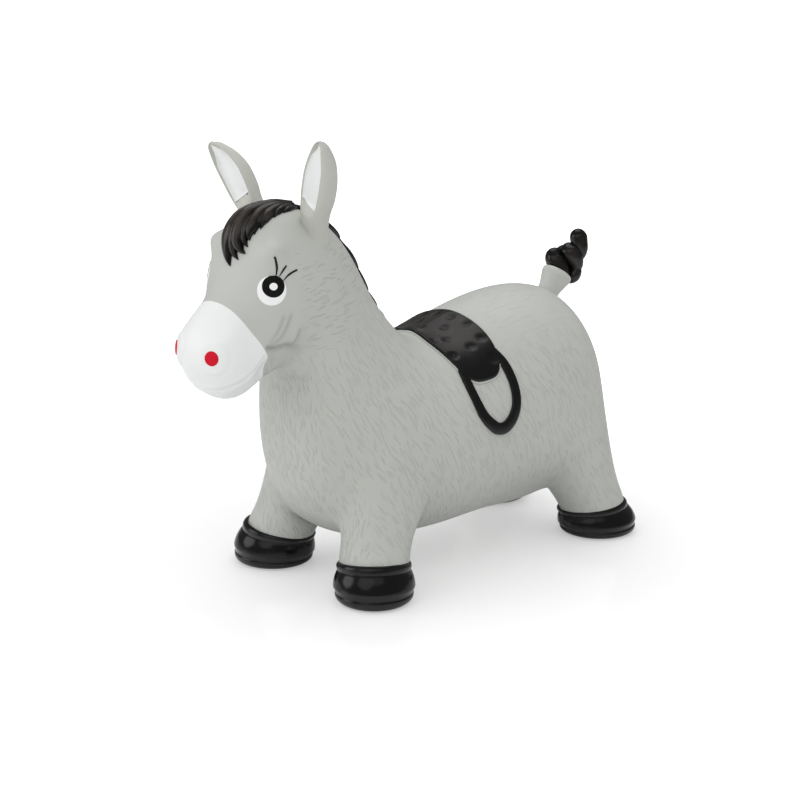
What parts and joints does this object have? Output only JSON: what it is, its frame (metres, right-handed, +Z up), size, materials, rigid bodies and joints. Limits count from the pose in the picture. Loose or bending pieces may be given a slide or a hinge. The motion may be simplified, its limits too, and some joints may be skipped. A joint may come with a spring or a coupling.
{
  "type": "bouncy ride on animal",
  "caption": "Air-filled bouncy donkey for a small child to sit on: ears to hold, moulded saddle with stirrup loops, short splayed legs with glossy hooves.",
  "frame": {"origin": "on the floor, under the middle of the overall box", "axes": "+X the way the animal faces, +Y its left side, +Z up"},
  "size_m": [0.5473, 0.2486, 0.4722],
  "materials": {
    "grey_skin": "soft semi-matt vinyl with fine fur lines",
    "white_skin": "soft semi-matt vinyl, sprayed white",
    "black_gloss": "glossy black paint on vinyl",
    "red_dot": "red paint",
    "eye_black": "glossy dark paint",
    "plug_white": "moulded soft plug"
  },
  "bodies": {
    "torso": {"torso_skin": "grey_skin", "neck_skin": "grey_skin", "neck_mane": "black_gloss", "saddle": "black_gloss", "left_stirrup_loop": "black_gloss", "right_stirrup_loop": "black_gloss", "front_left_leg_skin": "grey_skin", "front_right_leg_skin": "grey_skin", "rear_left_leg_skin": "grey_skin", "rear_right_leg_skin": "grey_skin", "tail_dock": "grey_skin", "valve_seat": "grey_skin"},
    "head": {"head_skin": "grey_skin", "muzzle": "white_skin", "forelock": "black_gloss", "poll_mane": "black_gloss", "left_eye_white": "white_skin", "left_iris": "eye_black", "left_eye_spark": "white_skin", "left_lashes": "black_gloss", "left_nostril": "red_dot", "left_ear_root": "grey_skin", "right_eye_white": "white_skin", "right_iris": "eye_black", "right_eye_spark": "white_skin", "right_lashes": "black_gloss", "right_nostril": "red_dot", "right_ear_root": "grey_skin"},
    "left_ear": {"left_ear": "grey_skin", "left_ear_lining": "white_skin"},
    "right_ear": {"right_ear": "grey_skin", "right_ear_lining": "white_skin"},
    "tail": {"tail_tuft": "black_gloss"},
    "front_left_foot": {"front_left_hoof": "black_gloss"},
    "front_right_foot": {"front_right_hoof": "black_gloss"},
    "rear_left_foot": {"rear_left_hoof": "black_gloss"},
    "rear_right_foot": {"rear_right_hoof": "black_gloss"},
    "plug": {"valve_plug": "plug_white"}
  },
  "joints": [
    {"name": "neck_nod", "type": "hinge", "parent": "torso", "child": "head", "pos_m": [0.11065, 0, 0.243], "axis": [0, 1, 0], "range_deg": [-6, 10], "stiffness_Nm_per_rad": 30, "springref_deg": -0.63, "deforming": ["neck_skin", "neck_mane"]},
    {"name": "left_ear_bend", "type": "hinge", "parent": "head", "child": "left_ear", "pos_m": [0.15515, 0.04, 0.389], "axis": [0, 1, 0], "range_deg": [-25, 25], "stiffness_Nm_per_rad": 1.5, "deforming": ["left_ear_root"]},
    {"name": "right_ear_bend", "type": "hinge", "parent": "head", "child": "right_ear", "pos_m": [0.15515, -0.04051, 0.38577], "axis": [0, 1, 0], "range_deg": [-25, 25], "stiffness_Nm_per_rad": 1.5, "deforming": ["right_ear_root"]},
    {"name": "tail_bend", "type": "hinge", "parent": "torso", "child": "tail", "pos_m": [-0.22035, 0, 0.262], "axis": [0, 1, 0], "range_deg": [-22, 22], "stiffness_Nm_per_rad": 1.5, "deforming": ["tail_dock"]},
    {"name": "front_left_leg_squash", "type": "slide", "parent": "torso", "child": "front_left_foot", "axis": [0, 0, 1], "range_m": [0, 0.014], "stiffness_N_per_m": 1500, "springref_m": -0.0028, "deforming": ["front_left_leg_skin"]},
    {"name": "front_right_leg_squash", "type": "slide", "parent": "torso", "child": "front_right_foot", "axis": [0, 0, 1], "range_m": [0, 0.014], "stiffness_N_per_m": 1500, "springref_m": -0.0028, "deforming": ["front_right_leg_skin"]},
    {"name": "rear_left_leg_squash", "type": "slide", "parent": "torso", "child": "rear_left_foot", "axis": [0, 0, 1], "range_m": [0, 0.014], "stiffness_N_per_m": 1500, "springref_m": -0.0028, "deforming": ["rear_left_leg_skin"]},
    {"name": "rear_right_leg_squash", "type": "slide", "parent": "torso", "child": "rear_right_foot", "axis": [0, 0, 1], "range_m": [0, 0.014], "stiffness_N_per_m": 1500, "springref_m": -0.0028, "deforming": ["rear_right_leg_skin"]},
    {"name": "plug_pull", "type": "slide", "parent": "torso", "child": "plug", "axis": [0, 0, -1], "range_m": [0, 0.016]}
  ]
}
